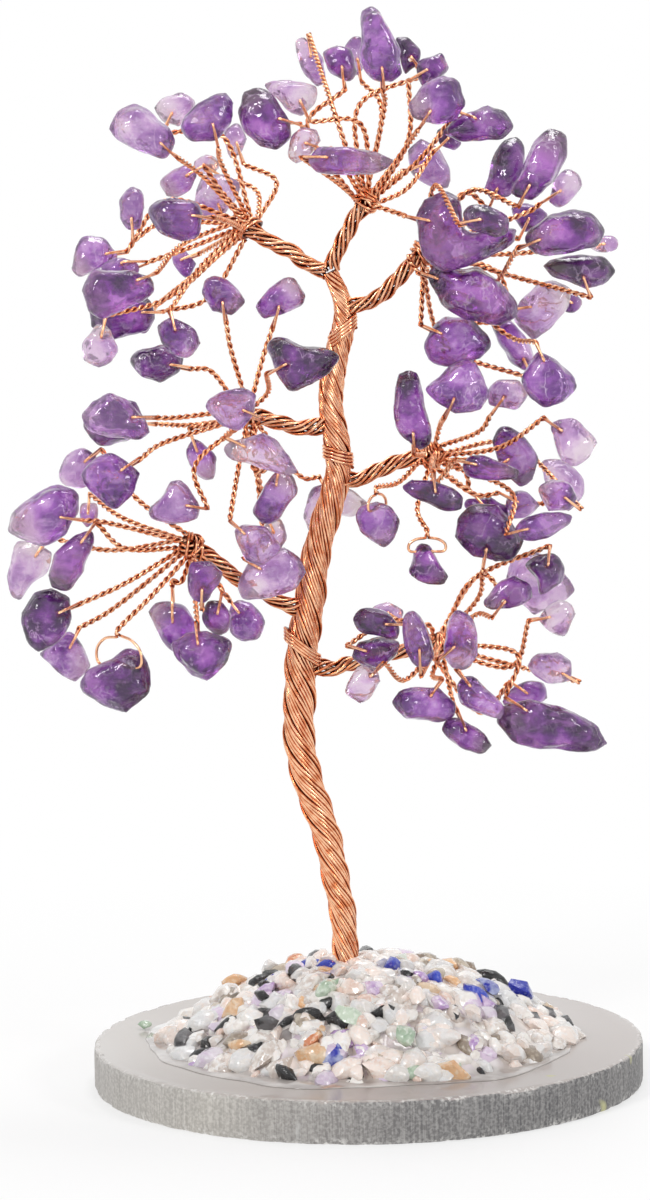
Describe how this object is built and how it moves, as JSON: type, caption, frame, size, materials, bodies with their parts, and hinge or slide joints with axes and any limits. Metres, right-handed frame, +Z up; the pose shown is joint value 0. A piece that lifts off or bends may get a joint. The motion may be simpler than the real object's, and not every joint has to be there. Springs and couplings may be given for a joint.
{
  "type": "gemstone tree ornament",
  "caption": "Ornamental tree of twisted copper wire hung with tumbled amethyst chips, rooted in a heap of clear resin and mixed gravel on a round slice of stone.",
  "frame": {"origin": "centre of the stone slice's flat underside, which rests on the table", "axes": "+Z up along the tree, +X to the right of the picture, +Y away from the camera"},
  "size_m": [0.0909, 0.08, 0.156],
  "materials": {
    "copper": "bright bare copper wire",
    "slab_stone": "polished top, saw-cut side",
    "clear_resin": "clear, glossy",
    "deep_amethyst": "tumbled, glossy, deep violet to black",
    "violet_amethyst": "tumbled, glossy, mid violet",
    "pale_amethyst": "tumbled, glossy, pale lilac",
    "clear_quartz": "tumbled, glossy",
    "rose_quartz": "tumbled, glossy",
    "amethyst": "tumbled, glossy",
    "black_tourmaline": "tumbled, glossy",
    "lapis": "tumbled, glossy",
    "carnelian": "tumbled, glossy",
    "aventurine": "tumbled, glossy",
    "tiger_eye": "tumbled, glossy"
  },
  "bodies": {
    "tree": {"amethyst_gravel": "amethyst", "aventurine_gravel": "aventurine", "black_tourmaline_gravel": "black_tourmaline", "broad_drop_hanger": "copper", "carnelian_gravel": "carnelian", "clear_quartz_gravel": "clear_quartz", "crown_branch": "copper", "crown_deep_chips": "deep_amethyst", "crown_pale_chips": "pale_amethyst", "crown_twigs": "copper", "crown_violet_chips": "violet_amethyst", "heart_drop_hanger": "copper", "lapis_gravel": "lapis", "long_drop_hanger": "copper", "lower_left_branch": "copper", "lower_left_deep_chips": "deep_amethyst", "lower_left_pale_chips": "pale_amethyst", "lower_left_twigs": "copper", "lower_left_violet_chips": "violet_amethyst", "lower_right_branch": "copper", "lower_right_deep_chips": "deep_amethyst", "lower_right_pale_chips": "pale_amethyst", "lower_right_twigs": "copper", "lower_right_violet_chips": "violet_amethyst", "middle_left_branch": "copper", "middle_left_deep_chips": "deep_amethyst", "middle_left_pale_chips": "pale_amethyst", "middle_left_twigs": "copper", "middle_left_violet_chips": "violet_amethyst", "middle_right_branch": "copper", "middle_right_deep_chips": "deep_amethyst", "middle_right_pale_chips": "pale_amethyst", "middle_right_twigs": "copper", "middle_right_violet_chips": "violet_amethyst", "resin_mound": "clear_resin", "ringed_drop_hanger": "copper", "rose_quartz_gravel": "rose_quartz", "stone_slab": "slab_stone", "tiger_eye_gravel": "tiger_eye", "trunk": "copper", "upper_left_branch": "copper", "upper_left_deep_chips": "deep_amethyst", "upper_left_pale_chips": "pale_amethyst", "upper_left_twigs": "copper", "upper_left_violet_chips": "violet_amethyst", "upper_right_branch": "copper", "upper_right_deep_chips": "deep_amethyst", "upper_right_pale_chips": "pale_amethyst", "upper_right_twigs": "copper", "upper_right_violet_chips": "violet_amethyst", "wire_bindings": "copper"},
    "heart_drop": {"heart_drop": "violet_amethyst"},
    "long_drop": {"long_drop": "deep_amethyst"},
    "broad_drop": {"broad_drop": "deep_amethyst"},
    "ringed_drop": {"ringed_drop": "violet_amethyst"}
  },
  "joints": [
    {"name": "heart_drop_swing", "type": "hinge", "parent": "tree", "child": "heart_drop", "pos_m": [0.00231, -0.0072, 0.08461], "axis": [0.5, 0.866, 0], "range_deg": [-50, 50]},
    {"name": "long_drop_swing", "type": "hinge", "parent": "tree", "child": "long_drop", "pos_m": [0.00938, -0.006, 0.07834], "axis": [1, 0, 0], "range_deg": [-60, 60]},
    {"name": "broad_drop_swing", "type": "hinge", "parent": "tree", "child": "broad_drop", "pos_m": [-0.03479, -0.0096, 0.0631], "axis": [0.766, -0.6428, 0], "range_deg": [-40, 40]},
    {"name": "ringed_drop_swing", "type": "hinge", "parent": "tree", "child": "ringed_drop", "pos_m": [-0.02716, -0.0036, 0.06879], "axis": [0, 1, 0], "range_deg": [-60, 60]}
  ]
}
